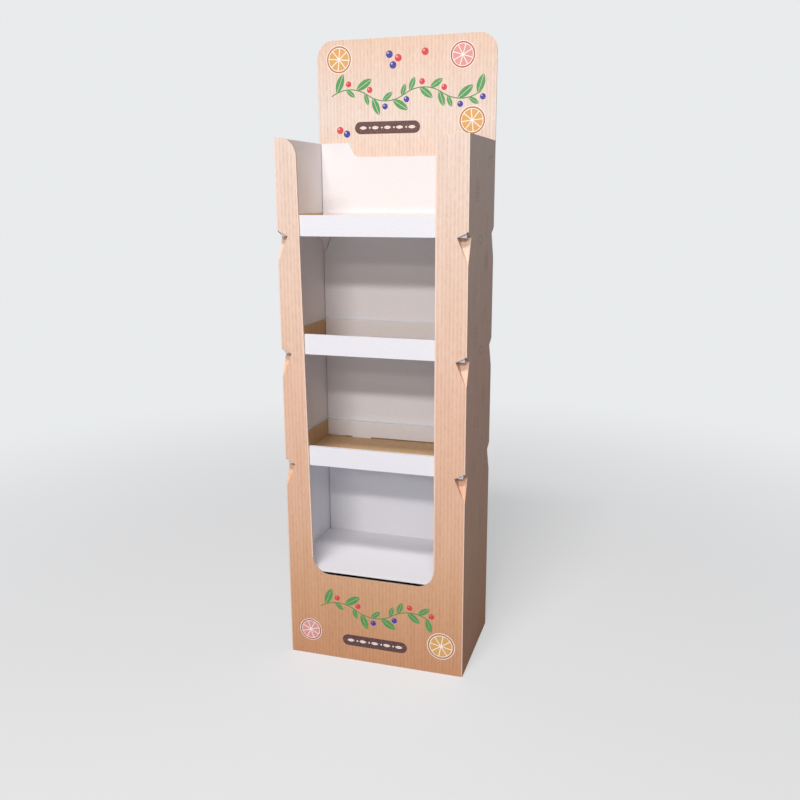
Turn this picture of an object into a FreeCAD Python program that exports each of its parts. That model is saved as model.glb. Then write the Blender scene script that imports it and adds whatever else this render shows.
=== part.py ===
import FreeCAD, Part
import os
import Sketcher

from FreeCAD import Placement, Rotation, Vector

# A free-standing display stand of corrugated board. Millimetres, +Z up, the front faces -Y.
# The origin is on the floor, under the middle of the body.

# Driving sizes: one row of the sheet each, with what the size means.
driving_sizes = {
    "body_width": (400, "outer width of the folded sleeve"),
    "body_depth": (250, "outer depth of the folded sleeve"),
    "body_height": (1130, "height of the sleeve"),
    "body_board": (4, "thickness of the sleeve's board"),
    "base_height": (199, "height of the base panel, up to the window"),
    "post_right": (66, "width of the right front post"),
    "post_left_foot": (59, "width of the left front post at its foot"),
    "post_left_top": (46, "width of the left front post at its top"),
    "window_radius": (38, "radius of the window's lower corners"),
    "post_radius": (36, "radius of the inner top corner of each post"),
    "glue_flap": (35, "width of the glued flap inside the back"),
    "dart_width": (23, "how far a pushed-in corner reaches along a panel"),
    "dart_drop": (53, "height of a pushed-in corner below its ledge"),
    "relief_margin": (8, "how far the cuts in the glued flap pass the pushed-in corners"),
    "first_ledge": (450, "height of the lowest row of ledges"),
    "shelf_pitch": (243.5, "height from one row of ledges to the next"),
    "liner_board": (3, "thickness of the white back liner"),
    "liner_clearance": (1, "gap between the liner and the sleeve's sides and pushed-in corners"),
    "ear_width": (66, "width of the liner's ears at their top"),
    "dip_depth": (30, "depth of the dip between the ears"),
    "dip_slope": (16, "sideways run of the dip's slanted ends"),
    "dip_radius": (18, "radius where a slanted end meets the dip"),
    "header_overhang": (1, "how far the header card passes the sleeve on each side"),
    "header_height": (216, "height of the header card above the sleeve"),
    "header_board": (4, "thickness of the header card"),
    "header_radius": (38, "radius of the header's top corners"),
    "shoulder_width": (49, "width of the header's shoulders beside its tongue"),
    "tongue_length": (180, "length of the header's tongue"),
    "pocket_clearance": (0.2, "gap on each side of the header in its pocket"),
    "tray_board": (3, "thickness of the trays' board"),
    "tray_height": (42, "height of a tray's walls"),
    "tray_clearance": (1, "gap round a tray, and at the ends of its rolled walls"),
    "corner_flap": (45, "length of the flaps inside a tray's rolled walls"),
    "fold_slack": (0.4, "free space between a flap and the rolled wall"),
    "floor_gap": (2.2, "height of a rolled wall's edge above the tray floor"),
    "tab_width": (47, "width of a locking tab"),
    "tab_inset": (89, "from a tray's side to the middle of a locking tab"),
    "slot_clearance": (0.8, "gap round a locking tab in its slot"),
    "shelf_height": (208, "height of the base shelf's top"),
    "shelf_board": (3, "thickness of the base shelf's board"),
    "shelf_clearance": (0.3, "gap between the base shelf and the sleeve's sides"),
    "shelf_setback": (4, "gap between the base panel and the shelf's edge"),
    "shelf_hem": (30, "depth of the doubled front edge of the shelf"),
    "corner_relief": (5, "side of the small cut at the shelf's back corners"),
}

# Places that several pieces share, as expressions of the sheet's cells.
inner_half = "(Sizes.body_width / 2 - Sizes.body_board)"
inner_front = "(-Sizes.body_depth / 2 + Sizes.body_board)"
pocket_back = "(Sizes.body_depth / 2 - Sizes.body_board)"
liner_front = f"({pocket_back} - Sizes.header_board - 2 * Sizes.pocket_clearance - Sizes.liner_board)"
liner_half = f"({inner_half} - Sizes.liner_clearance)"
tray_half = f"({inner_half} - Sizes.tray_clearance)"
tab_middle = f"({tray_half} - Sizes.tab_inset)"
tray_front = f"({inner_front} + Sizes.tray_clearance)"
tray_back = f"({liner_front} - Sizes.tray_clearance)"
shelf_half = f"({inner_half} - Sizes.shelf_clearance)"
shelf_back = f"({liner_front} - Sizes.shelf_clearance)"
dart_divisor = "(2 * Sizes.dart_drop ^ 2 - Sizes.dart_width ^ 2)"
dart_rise = f"(2 * Sizes.dart_width ^ 2 * Sizes.dart_drop / {dart_divisor})"
dart_depth = f"(2 * Sizes.dart_width * Sizes.dart_drop ^ 2 / {dart_divisor})"

tray_names = ["lower_tray", "middle_tray", "upper_tray"]
ledge_count = len(tray_names)

doc = FreeCAD.newDocument("display_stand")
sheet = doc.addObject("Spreadsheet::Sheet", "Sizes")


def fill_sheet():
    for row, (alias, (value, meaning)) in enumerate(driving_sizes.items(), start=1):
        sheet.set(f"A{row}", meaning)
        sheet.set(f"B{row}", str(value))
        sheet.setAlias(f"B{row}", alias)
    doc.recompute()


def value_of(expression):
    return float(sheet.evalExpression(expression))


def ledge_level(row):
    return f"(Sizes.first_ledge + {row} * Sizes.shelf_pitch)"


def add_panel(name, corner, size):
    # A flat piece of board, from its lowest corner and its three sizes.
    box = doc.addObject("Part::Box", name)
    for axis, expression in zip("xyz", corner):
        box.setExpression(f"Placement.Base.{axis}", expression)
    for side, expression in zip(("Length", "Width", "Height"), size):
        box.setExpression(side, expression)
    return box


def fuse(name, pieces):
    joined = doc.addObject("Part::MultiFuse", name)
    joined.Shapes = pieces
    joined.Refine = True
    return joined


def cut(name, base, tools):
    cutter = fuse(f"{name}_cutter", tools) if len(tools) > 1 else tools[0]
    result = doc.addObject("Part::Cut", name)
    result.Base = base
    result.Tool = cutter
    return result


def add_outline(body, name, plane, corners):
    # A closed outline of straight edges, each corner held by its two distances from the origin.
    sketch = body.newObject("Sketcher::SketchObject", name)
    origin_plane = [item for item in body.Origin.OriginFeatures if item.Role == plane][0]
    sketch.AttachmentSupport = [(origin_plane, "")]
    sketch.MapMode = "FlatFace"
    draw_loop(sketch, corners)
    return sketch


def draw_loop(sketch, corners):
    first = sketch.GeometryCount
    count = len(corners)
    points = [Vector(value_of(x), value_of(y), 0) for x, y in corners]
    for index in range(count):
        sketch.addGeometry(Part.LineSegment(points[index], points[(index + 1) % count]), False)
    for index in range(count):
        following = first + (index + 1) % count
        sketch.addConstraint(Sketcher.Constraint("Coincident", first + index, 2, following, 1))
    for index, (x, y) in enumerate(corners):
        hold_point(sketch, "DistanceX", first + index, points[index].x, x)
        hold_point(sketch, "DistanceY", first + index, points[index].y, y)


def hold_point(sketch, kind, line, distance, expression):
    constraint = sketch.addConstraint(Sketcher.Constraint(kind, -1, 1, line, 1, distance))
    sketch.setExpression(f"Constraints[{constraint}]", expression)


def add_pad(body, name, sketch, length):
    pad = body.newObject("PartDesign::Pad", name)
    pad.Profile = sketch
    pad.setExpression("Length", length)
    return pad


def edges_through(shape, corners):
    # Names of the straight edges along Y that stand at the given places of X and Z.
    near = 0.01
    names = []
    for number, edge in enumerate(shape.Edges, start=1):
        ends = [vertex.Point for vertex in edge.Vertexes]
        for x, z in corners:
            if all(abs(end.x - x) < near and abs(end.z - z) < near for end in ends):
                names.append(f"Edge{number}")
    return names


def round_corners(body, name, base, corners, radius):
    doc.recompute()
    places = [(value_of(x), value_of(z)) for x, z in corners]
    rounding = body.newObject("PartDesign::Fillet", name)
    rounding.Base = (base, edges_through(base.Shape, places))
    rounding.setExpression("Radius", radius)
    return rounding


def pyramid(drop, width, depth, top):
    # The hollow of a pushed-in corner: its point is at the bottom, its kite-shaped mouth at the top.
    point = Vector(0, 0, top - drop)
    mouth = [Vector(-width, 0, top), Vector(-depth, depth, top), Vector(0, width, top), Vector(0, 0, top)]
    faces = [Part.Face(Part.makePolygon(mouth + mouth[:1]))]
    for index, corner in enumerate(mouth):
        following = mouth[(index + 1) % len(mouth)]
        faces.append(Part.Face(Part.makePolygon([corner, following, point, corner])))
    return Part.Solid(Part.makeShell(faces))


def slit_wedges(width, rise, board):
    # The two slivers between the ledge's level and the slanted cuts that meet at the corner.
    corner = Vector(0, 0, 0)
    tip = Vector(0, 0, rise)
    wedges = []
    front = (Vector(-width, 0, 0), Vector(0, board, 0))
    side = (Vector(0, width, 0), Vector(-board, 0, 0))
    for end, through in (front, side):
        triangle = Part.Face(Part.makePolygon([end, corner, tip, end]))
        wedges.append(triangle.extrude(through))
    return wedges


def dart_envelope(thickness, top):
    # The pyramid of a pushed-in corner with its slanted sides moved out by a thickness, up to a height.
    width = value_of("Sizes.dart_width")
    drop = value_of("Sizes.dart_drop")
    depth = value_of(dart_depth)
    normal = Vector(-width, 0, drop).cross(Vector(-depth, depth, drop))
    lower = thickness * normal.Length / (width * depth)
    height = drop + lower + top
    growth = height / drop
    return pyramid(height, width * growth, depth * growth, top)


def dart_shapes():
    # One pushed-in corner, for the front right corner, with the ledge at height zero.
    # The cut rises above the ledge by just the amount that makes the folded ledge level.
    board = value_of("Sizes.body_board")
    hollow = dart_envelope(0, 0)
    wedges = slit_wedges(value_of("Sizes.dart_width"), value_of(dart_rise), board)
    opening = hollow.multiFuse(wedges)
    folded = dart_envelope(board, 0).cut(hollow)
    return opening, folded


def at_each_corner(name, shape):
    # Copies of a shape at the four corners and at each ledge level, turned to face each corner.
    half_width = value_of("Sizes.body_width / 2")
    half_depth = value_of("Sizes.body_depth / 2")
    corners = [(half_width, -half_depth), (half_width, half_depth)]
    corners += [(-half_width, half_depth), (-half_width, -half_depth)]
    copies = []
    for row in range(ledge_count):
        for quarter, (x, y) in enumerate(corners):
            turned = shape.copy()
            level = value_of(ledge_level(row))
            turned.Placement = Placement(Vector(x, y, level), Rotation(Vector(0, 0, 1), 90 * quarter))
            copies.append(turned)
    feature = doc.addObject("Part::Feature", name)
    feature.Shape = Part.makeCompound(copies)
    return feature


def flap_reliefs(flap_face):
    # Cuts that keep the glued flap clear of the pushed-in corner of each level.
    tools = []
    size = ("Sizes.glue_flap", "Sizes.body_board", f"Sizes.dart_drop + {dart_rise} + 3 * Sizes.relief_margin")
    for row in range(ledge_count):
        bottom = f"{ledge_level(row)} - Sizes.dart_drop - 2 * Sizes.relief_margin"
        tools.append(add_panel(f"flap_relief_{row}", (f"-{inner_half}", flap_face, bottom), size))
    return tools


def build_sleeve():
    # The tube is padded from its folded section: four panels, and the flap glued inside the back.
    body = doc.addObject("PartDesign::Body", "sleeve_tube")
    half_width = "Sizes.body_width / 2"
    half_depth = "Sizes.body_depth / 2"
    outer = [(f"-{half_width}", f"-{half_depth}"), (half_width, f"-{half_depth}")]
    outer += [(half_width, half_depth), (f"-{half_width}", half_depth)]
    section = add_outline(body, "sleeve_section", "XY_Plane", outer)
    flap_end = f"(-{inner_half} + Sizes.glue_flap)"
    flap_face = f"({pocket_back} - Sizes.body_board)"
    inner = [(f"-{inner_half}", inner_front), (inner_half, inner_front), (inner_half, pocket_back)]
    inner += [(flap_end, pocket_back), (flap_end, flap_face), (f"-{inner_half}", flap_face)]
    draw_loop(section, inner)
    add_pad(body, "sleeve_pad", section, "Sizes.body_height")
    window = cut_window(body)
    rounded = round_window(body, window)
    body.Tip = rounded

    relieved = cut("sleeve_with_reliefs", body, flap_reliefs(flap_face))
    opening, folded = dart_shapes()
    opened = cut("sleeve_with_openings", relieved, [at_each_corner("dart_openings", opening)])
    sleeve = fuse("body_sleeve", [opened, at_each_corner("dart_panels", folded)])
    return sleeve


def window_corners():
    left_foot = "(-Sizes.body_width / 2 + Sizes.post_left_foot)"
    left_top = "(-Sizes.body_width / 2 + Sizes.post_left_top)"
    right = "(Sizes.body_width / 2 - Sizes.post_right)"
    foot = [(left_foot, "Sizes.base_height"), (right, "Sizes.base_height")]
    top = [(right, "Sizes.body_height"), (left_top, "Sizes.body_height")]
    return foot, top


def cut_window(body):
    # The front panel is open from the base panel up, between the two posts.
    foot, top = window_corners()
    sketch = add_outline(body, "window_outline", "XZ_Plane", foot + top)
    window = body.newObject("PartDesign::Pocket", "window_cut")
    window.Profile = sketch
    window.Reversed = True
    window.setExpression("Length", "Sizes.body_depth")
    return window


def round_window(body, window):
    foot, top = window_corners()
    lower = round_corners(body, "window_rounding", window, foot, "Sizes.window_radius")
    return round_corners(body, "post_rounding", lower, top, "Sizes.post_radius")


def build_liner():
    # A flat panel in front of the pocket, with an ear at each end of its top edge.
    body = doc.addObject("PartDesign::Body", "liner_panel")
    ear = f"({liner_half} - Sizes.ear_width)"
    dip_end = f"({ear} - Sizes.dip_slope)"
    dip = "(Sizes.body_height - Sizes.dip_depth)"
    top = "Sizes.body_height"
    right_side = [(liner_half, "0"), (liner_half, top), (ear, top), (dip_end, dip)]
    left_side = [(f"-{x}", z) for x, z in reversed(right_side)]
    sketch = add_outline(body, "liner_outline", "XZ_Plane", right_side + left_side)
    panel = add_pad(body, "liner_pad", sketch, "Sizes.liner_board")
    dips = [(dip_end, dip), (f"-{dip_end}", dip)]
    body.Tip = round_corners(body, "liner_rounding", panel, dips, "Sizes.dip_radius")
    body.setExpression("Placement.Base.y", f"{liner_front} + Sizes.liner_board")

    # V-shaped cuts in its sides keep it clear of the pushed-in corners.
    clearance = value_of("Sizes.liner_clearance")
    notch = dart_envelope(value_of("Sizes.body_board") + clearance, clearance)
    return cut("back_liner", body, [at_each_corner("liner_notches", notch)])


def build_header():
    # A wide card on a narrower tongue. The shoulders between them rest on the sleeve's side panels.
    body = doc.addObject("PartDesign::Body", "header_card")
    top = "(Sizes.body_height + Sizes.header_height)"
    edge = "(Sizes.body_width / 2 + Sizes.header_overhang)"
    tongue = f"({edge} - Sizes.shoulder_width)"
    tongue_end = "(Sizes.body_height - Sizes.tongue_length)"
    shoulder = "Sizes.body_height"
    right_side = [(tongue, tongue_end), (tongue, shoulder), (edge, shoulder), (edge, top)]
    left_side = [(f"-{x}", z) for x, z in reversed(right_side)]
    sketch = add_outline(body, "header_outline", "XZ_Plane", right_side + left_side)
    card = add_pad(body, "header_pad", sketch, "Sizes.header_board")
    top_corners = [(edge, top), (f"-{edge}", top)]
    body.Tip = round_corners(body, "header_rounding", card, top_corners, "Sizes.header_radius")
    body.setExpression("Placement.Base.y", f"{pocket_back} - Sizes.pocket_clearance")
    return body


def tray_slots(name, level, wall_y):
    # The slots in the floor that take the locking tabs of one rolled wall.
    slots = []
    for side, sign in (("left", "-"), ("right", "")):
        corner_x = f"{sign}{tab_middle} - Sizes.tab_width / 2 - Sizes.slot_clearance"
        corner = (corner_x, f"{wall_y} - Sizes.slot_clearance", level)
        size = ("Sizes.tab_width + 2 * Sizes.slot_clearance",)
        size += ("Sizes.tray_board + 2 * Sizes.slot_clearance", "Sizes.tray_board")
        slots.append(add_panel(f"{name}_slot_{side}", corner, size))
    return slots


def rolled_wall(name, level, outer_y, flap_y, inner_y, top_y):
    # An outer wall, a strip over its top, an inner wall with two locking tabs, and the side walls'
    # flaps held between the two walls.
    board = "Sizes.tray_board"
    rolled_half = f"({tray_half} - {board} - Sizes.tray_clearance)"
    rolled_length = f"2 * {rolled_half}"
    inner_bottom = f"({level} + {board} + Sizes.floor_gap)"
    inner_height = f"Sizes.tray_height - {board} - Sizes.floor_gap"
    strip_bottom = f"{level} + Sizes.tray_height - {board}"
    strip_depth = f"3 * {board} + Sizes.fold_slack"
    outer_size = (f"2 * {tray_half}", board, "Sizes.tray_height")
    strip_size = (rolled_length, strip_depth, board)
    inner_size = (rolled_length, board, inner_height)
    panels = [
        add_panel(f"{name}_outer", (f"-{tray_half}", outer_y, level), outer_size),
        add_panel(f"{name}_strip", (f"-{rolled_half}", top_y, strip_bottom), strip_size),
        add_panel(f"{name}_inner", (f"-{rolled_half}", inner_y, inner_bottom), inner_size),
    ]
    tab_size = ("Sizes.tab_width", board, f"{board} + Sizes.floor_gap")
    flap_size = ("Sizes.corner_flap", board, f"Sizes.tray_height - 2 * {board}")
    flap_bottom = f"{level} + {board}"
    for side, sign in (("left", "-"), ("right", "")):
        tab_x = f"{sign}{tab_middle} - Sizes.tab_width / 2"
        panels.append(add_panel(f"{name}_tab_{side}", (tab_x, inner_y, level), tab_size))
    flap_left = f"-{tray_half} + {board}"
    flap_right = f"{tray_half} - {board} - Sizes.corner_flap"
    panels.append(add_panel(f"{name}_flap_left", (flap_left, flap_y, flap_bottom), flap_size))
    panels.append(add_panel(f"{name}_flap_right", (flap_right, flap_y, flap_bottom), flap_size))
    return panels


def build_tray(label, level):
    board = "Sizes.tray_board"
    depth = f"({tray_back} - {tray_front})"
    front_inner = f"({tray_front} + 2 * {board} + Sizes.fold_slack)"
    back_inner = f"({tray_back} - 3 * {board} - Sizes.fold_slack)"
    floor_size = (f"2 * {tray_half}", depth, board)
    floor = add_panel(f"{label}_sheet", (f"-{tray_half}", tray_front, level), floor_size)
    slots = tray_slots(f"{label}_front", level, front_inner) + tray_slots(f"{label}_back", level, back_inner)
    panels = [cut(f"{label}_floor", floor, slots)]
    side_size = (board, depth, "Sizes.tray_height")
    panels.append(add_panel(f"{label}_left", (f"-{tray_half}", tray_front, level), side_size))
    panels.append(add_panel(f"{label}_right", (f"{tray_half} - {board}", tray_front, level), side_size))
    front_flap = f"{tray_front} + {board}"
    panels += rolled_wall(f"{label}_front", level, tray_front, front_flap, front_inner, tray_front)
    back_outer = f"{tray_back} - {board}"
    back_flap = f"{tray_back} - 2 * {board}"
    panels += rolled_wall(f"{label}_back", level, back_outer, back_flap, back_inner, back_inner)
    return fuse(label, panels)


def build_base_shelf():
    # A top on three walls. The front edge is doubled by a hem folded under it, and is open below.
    board = "Sizes.shelf_board"
    left = f"-{shelf_half}"
    right = f"{shelf_half} - {board}"
    front = f"({inner_front} + Sizes.shelf_setback)"
    depth = f"({shelf_back} - {front})"
    height = "Sizes.shelf_height"
    top_bottom = f"{height} - {board}"
    relief = "Sizes.corner_relief"
    relief_y = f"{shelf_back} - {relief}"
    relief_size = (relief, relief, board)
    whole_top = add_panel("shelf_sheet", (left, front, top_bottom), (f"2 * {shelf_half}", depth, board))
    reliefs = [
        add_panel("shelf_relief_left", (left, relief_y, top_bottom), relief_size),
        add_panel("shelf_relief_right", (f"{shelf_half} - {relief}", relief_y, top_bottom), relief_size),
    ]
    side_size = (board, f"{depth} - {relief}", height)
    back_corner = (f"{left} + {relief}", f"{shelf_back} - {board}", "0")
    hem_half = f"({shelf_half} - {board} - Sizes.shelf_clearance)"
    hem_corner = (f"-{hem_half}", front, f"{top_bottom} - {board}")
    panels = [
        cut("shelf_top", whole_top, reliefs),
        add_panel("shelf_left", (left, front, "0"), side_size),
        add_panel("shelf_right", (right, front, "0"), side_size),
        add_panel("shelf_back", back_corner, (f"2 * ({shelf_half} - {relief})", board, height)),
        add_panel("shelf_hem_panel", hem_corner, (f"2 * {hem_half}", "Sizes.shelf_hem", board)),
    ]
    return fuse("base_shelf", panels)


def check_document(pieces):
    for item in doc.Objects:
        if "Invalid" in item.State or "Error" in item.State:
            raise RuntimeError(f"{item.Name} could not be made: {item.State}")
    for piece in pieces:
        shape = piece.Shape
        if shape.isNull() or not shape.isValid():
            raise RuntimeError(f"{piece.Label} has no valid shape")
        if len(shape.Solids) != 1:
            raise RuntimeError(f"{piece.Label} is {len(shape.Solids)} solids, not one folded sheet")


def export_pieces(pieces):
    os.makedirs("parts", exist_ok=True)
    for piece in pieces:
        piece.Shape.exportStep(f"parts/{piece.Label}.step")
        box = piece.Shape.BoundBox
        print(f"{piece.Label}: {box.XLength:.1f} x {box.YLength:.1f} x {box.ZLength:.1f} mm,"
              f" {piece.Shape.Volume / 1000:.1f} cm3")


fill_sheet()
stand = [build_sleeve(), build_liner(), build_header(), build_base_shelf()]
for row, tray_name in enumerate(tray_names):
    stand.append(build_tray(tray_name, ledge_level(row)))
doc.recompute()
check_document(stand)
export_pieces(stand)
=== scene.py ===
import math
import random

import bmesh
import bpy
from mathutils import Matrix, Vector


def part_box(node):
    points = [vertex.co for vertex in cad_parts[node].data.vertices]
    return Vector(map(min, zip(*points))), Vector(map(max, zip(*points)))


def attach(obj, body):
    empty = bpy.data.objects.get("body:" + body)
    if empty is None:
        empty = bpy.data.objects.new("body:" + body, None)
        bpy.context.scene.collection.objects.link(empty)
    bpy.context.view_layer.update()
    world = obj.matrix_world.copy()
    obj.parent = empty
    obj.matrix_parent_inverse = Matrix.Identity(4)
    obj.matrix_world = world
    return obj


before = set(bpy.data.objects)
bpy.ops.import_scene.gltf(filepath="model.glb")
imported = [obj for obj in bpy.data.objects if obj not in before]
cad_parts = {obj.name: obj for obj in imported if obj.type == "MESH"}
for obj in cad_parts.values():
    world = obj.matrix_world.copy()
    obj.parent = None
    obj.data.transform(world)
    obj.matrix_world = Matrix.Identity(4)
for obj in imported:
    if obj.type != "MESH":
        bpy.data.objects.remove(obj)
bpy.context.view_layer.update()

print("frame loaded:", sorted(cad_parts))

mm = 0.001

# Places that the finishes and the print follow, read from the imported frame, in metres
sleeveLow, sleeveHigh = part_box("body_sleeve")
headerLow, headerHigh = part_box("header_card")
linerLow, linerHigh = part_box("back_liner")
trayLow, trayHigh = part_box("lower_tray")
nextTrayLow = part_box("middle_tray")[0]

board = {
    "flutePitch": 8 * mm,                            # C flute, crest to crest
    "sleeveThickness": headerHigh.y - headerLow.y,   # the sleeve and the header are the same board
    "trayThickness": linerHigh.y - linerLow.y,       # the trays, the liner and the shelf are thinner
    "foldRadius": 0.5 * mm,                          # how far the sharp edges of board are rubbed off
    "foldAngle": math.radians(40),                   # an edge that turns less than this stays as it is
    "joinDistance": 0.01 * mm,                       # corners nearer than this are one corner
}

# How far a face turns towards an axis before it counts as level, crosswise or seen edge on
turned = {"level": 0.6, "crosswise": 0.4, "edgeOn": 0.5}


def linearColour(hexCode):
    # sRGB hex to the linear colour that a shader wants
    channels = [int(hexCode[i:i + 2], 16) / 255 for i in (1, 3, 5)]
    linear = [c / 12.92 if c <= 0.04045 else ((c + 0.055) / 1.055) ** 2.4 for c in channels]
    return (*linear, 1.0)


def addNode(tree, kind, settings=None, inputs=None):
    # adds a node, sets its options, then gives each input a value or a link
    node = tree.nodes.new(kind)
    for name, value in (settings or {}).items():
        setattr(node, name, value)
    for name, value in (inputs or {}).items():
        if isinstance(value, bpy.types.NodeSocket):
            tree.links.new(value, node.inputs[name])
        else:
            node.inputs[name].default_value = value
    return node


def newMaterial(name, roughness):
    material = bpy.data.materials.new(name)
    material.use_nodes = True
    tree = material.node_tree
    tree.nodes.clear()
    shader = addNode(tree, "ShaderNodeBsdfPrincipled", None, {"Roughness": roughness, "IOR": 1.5})
    addNode(tree, "ShaderNodeOutputMaterial", None, {"Surface": shader.outputs["BSDF"]})
    return material, tree, shader


def dress(nodeName, material):
    # gives a CAD node its material, and rubs off its sharp edges with live modifiers
    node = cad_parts[nodeName]
    node.data.materials.clear()
    node.data.materials.append(material)
    weld = node.modifiers.new("joined faces", "WELD")
    weld.merge_threshold = board["joinDistance"]
    soften = node.modifiers.new("rubbed edges", "BEVEL")
    soften.width = board["foldRadius"]
    soften.segments = 2
    soften.limit_method = "ANGLE"
    soften.angle_limit = board["foldAngle"]


# Sockets of the Mix node when it mixes colours
mixFactor, mixA, mixB, mixColour = 0, 6, 7, 2

kraftPrint = {
    # colour of the print from the floor up to the top of the header, as shares of the height: partly the
    # print's own fade with a paler middle in the header, partly painted light, lighter towards the top and
    # darker towards the floor where the lamps' light falls off
    "fadeAndPaintedLight": [(0.0, "#dca57d"), (0.12, "#e6b68e"), (0.22, "#f0c6a7"), (0.45, "#fad4bc"),
             (0.63, "#fde2cf"), (0.82, "#fdeadd"), (0.88, "#fdf1e9"), (1.0, "#fbe0cc")],
    "dark": "#dac6b4",             # multiplies the print where the pattern below is fullest
    "streakWeight": 0.48,
    "streakWidth": 2.4 * mm,       # fibres of kraft paper are near 0.05 mm wide, too fine to show
    "streakLength": 16 * mm,
    "ribWeight": 0.40,
    "ribPatchWidth": 9 * mm,       # the ribs show in short dashes, more in some places than in others
    "ribPatchLength": 15 * mm,
    "bandWeight": 0.30,
    "bandWidth": 17 * mm,
    "bandLength": 190 * mm,
    "fleckDark": "#a5754f",
    "fleckShare": 0.45,
    "fleckless": 0.55,             # share of the cells that hold no fleck
    "fleckSpacing": 10 * mm,
    "fleckSize": 0.8 * mm,         # real flecks are near 0.3 mm wide, so these are drawn coarser
    "edgeHighlightAndWear": "#fde3d2",      # the ink is rubbed where the fold turns to the front, and a painted highlight of the rounded fold lies over it
    "foldPaintedShade": "#b49a8a",       # painted shade on the side face, which drops away from the light beside the fold
    "creaseWidth": 3.2 * mm,
    "creaseShare": 0.8,
    "ribHeight": 0.035 * mm,
}

whiteLiner = {
    "paper": "#f0eff2",
    "mottle": "#e9e7eb",
    "mottleSize": 2.2 * mm,        # the brown fibre that shows through is finer, near 0.5 mm
    "mottleFrom": 0.45,
    "mottleTo": 0.75,
    "ribHeight": 0.03 * mm,
}

cutEdge = {
    "paper": "#efd9c4",
    # painted shade in the flutes' hollows, where a cut faces up or down
    "gap": "#8d6748",
    "uprightGap": "#d9b795",       # a cut along the flutes opens no gap, it runs down a flute's side
    "whitePaper": "#ece7e3",
    # painted shade in the hollows of the white board's flutes
    "whiteGapShade": "#a89280",
    "linerShare": 0.12,            # a liner is about a tenth of the board's thickness
    "fluteShare": 0.10,
    "waveShare": 0.36,
    "windowDepth": 1.01,           # in thicknesses: what lies this near the front is the front panel
    "besideWall": 1.5,             # in thicknesses: what lies this far from a side isn't that side
}


def readPlace(tree):
    # object coordinates and the direction that the surface faces, also without their signs
    source = addNode(tree, "ShaderNodeTexCoord")
    spots = {"point": source.outputs["Object"], "direction": source.outputs["Normal"]}
    for name, output in (("place", "Object"), ("facing", "Normal")):
        plain = addNode(tree, "ShaderNodeSeparateXYZ", None, {0: source.outputs[output]})
        size = addNode(tree, "ShaderNodeVectorMath", {"operation": "ABSOLUTE"}, {0: source.outputs[output]})
        unsigned = addNode(tree, "ShaderNodeSeparateXYZ", None, {0: size.outputs[0]})
        spots[name] = plain.outputs
        spots[name + "Size"] = unsigned.outputs
    # distance along a wall: X on the front and back, Y on the sides
    fromX = addNode(tree, "ShaderNodeMath", {"operation": "MULTIPLY"},
                    {0: spots["place"]["X"], 1: spots["facingSize"]["Y"]})
    along = addNode(tree, "ShaderNodeMath", {"operation": "MULTIPLY_ADD"},
                    {0: spots["place"]["Y"], 1: spots["facingSize"]["X"], 2: fromX.outputs[0]})
    spots["along"] = along.outputs[0]
    return spots


def ribs(tree, along):
    # the flutes telegraph through the liner as soft upright ribs
    line = addNode(tree, "ShaderNodeCombineXYZ", None, {"X": along})
    perMetre = 2 * math.pi / (20 * board["flutePitch"])       # the Wave node has 20 radians to a unit
    wave = addNode(tree, "ShaderNodeTexWave", {"wave_type": "BANDS", "bands_direction": "X"},
                   {"Vector": line.outputs[0], "Scale": perMetre})
    return wave.outputs["Fac"]


def grain(tree, along, height, width, length, detail):
    # noise whose grains are so wide and so long, in metres
    spot = addNode(tree, "ShaderNodeCombineXYZ", None, {"X": along, "Y": height})
    scaled = addNode(tree, "ShaderNodeVectorMath", {"operation": "MULTIPLY"},
                     {0: spot.outputs[0], 1: (1 / width, 1 / length, 1)})
    noise = addNode(tree, "ShaderNodeTexNoise", {"noise_dimensions": "2D"},
                    {"Vector": scaled.outputs[0], "Scale": 1.0, "Detail": detail, "Roughness": 0.6})
    return noise.outputs["Fac"]


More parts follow.
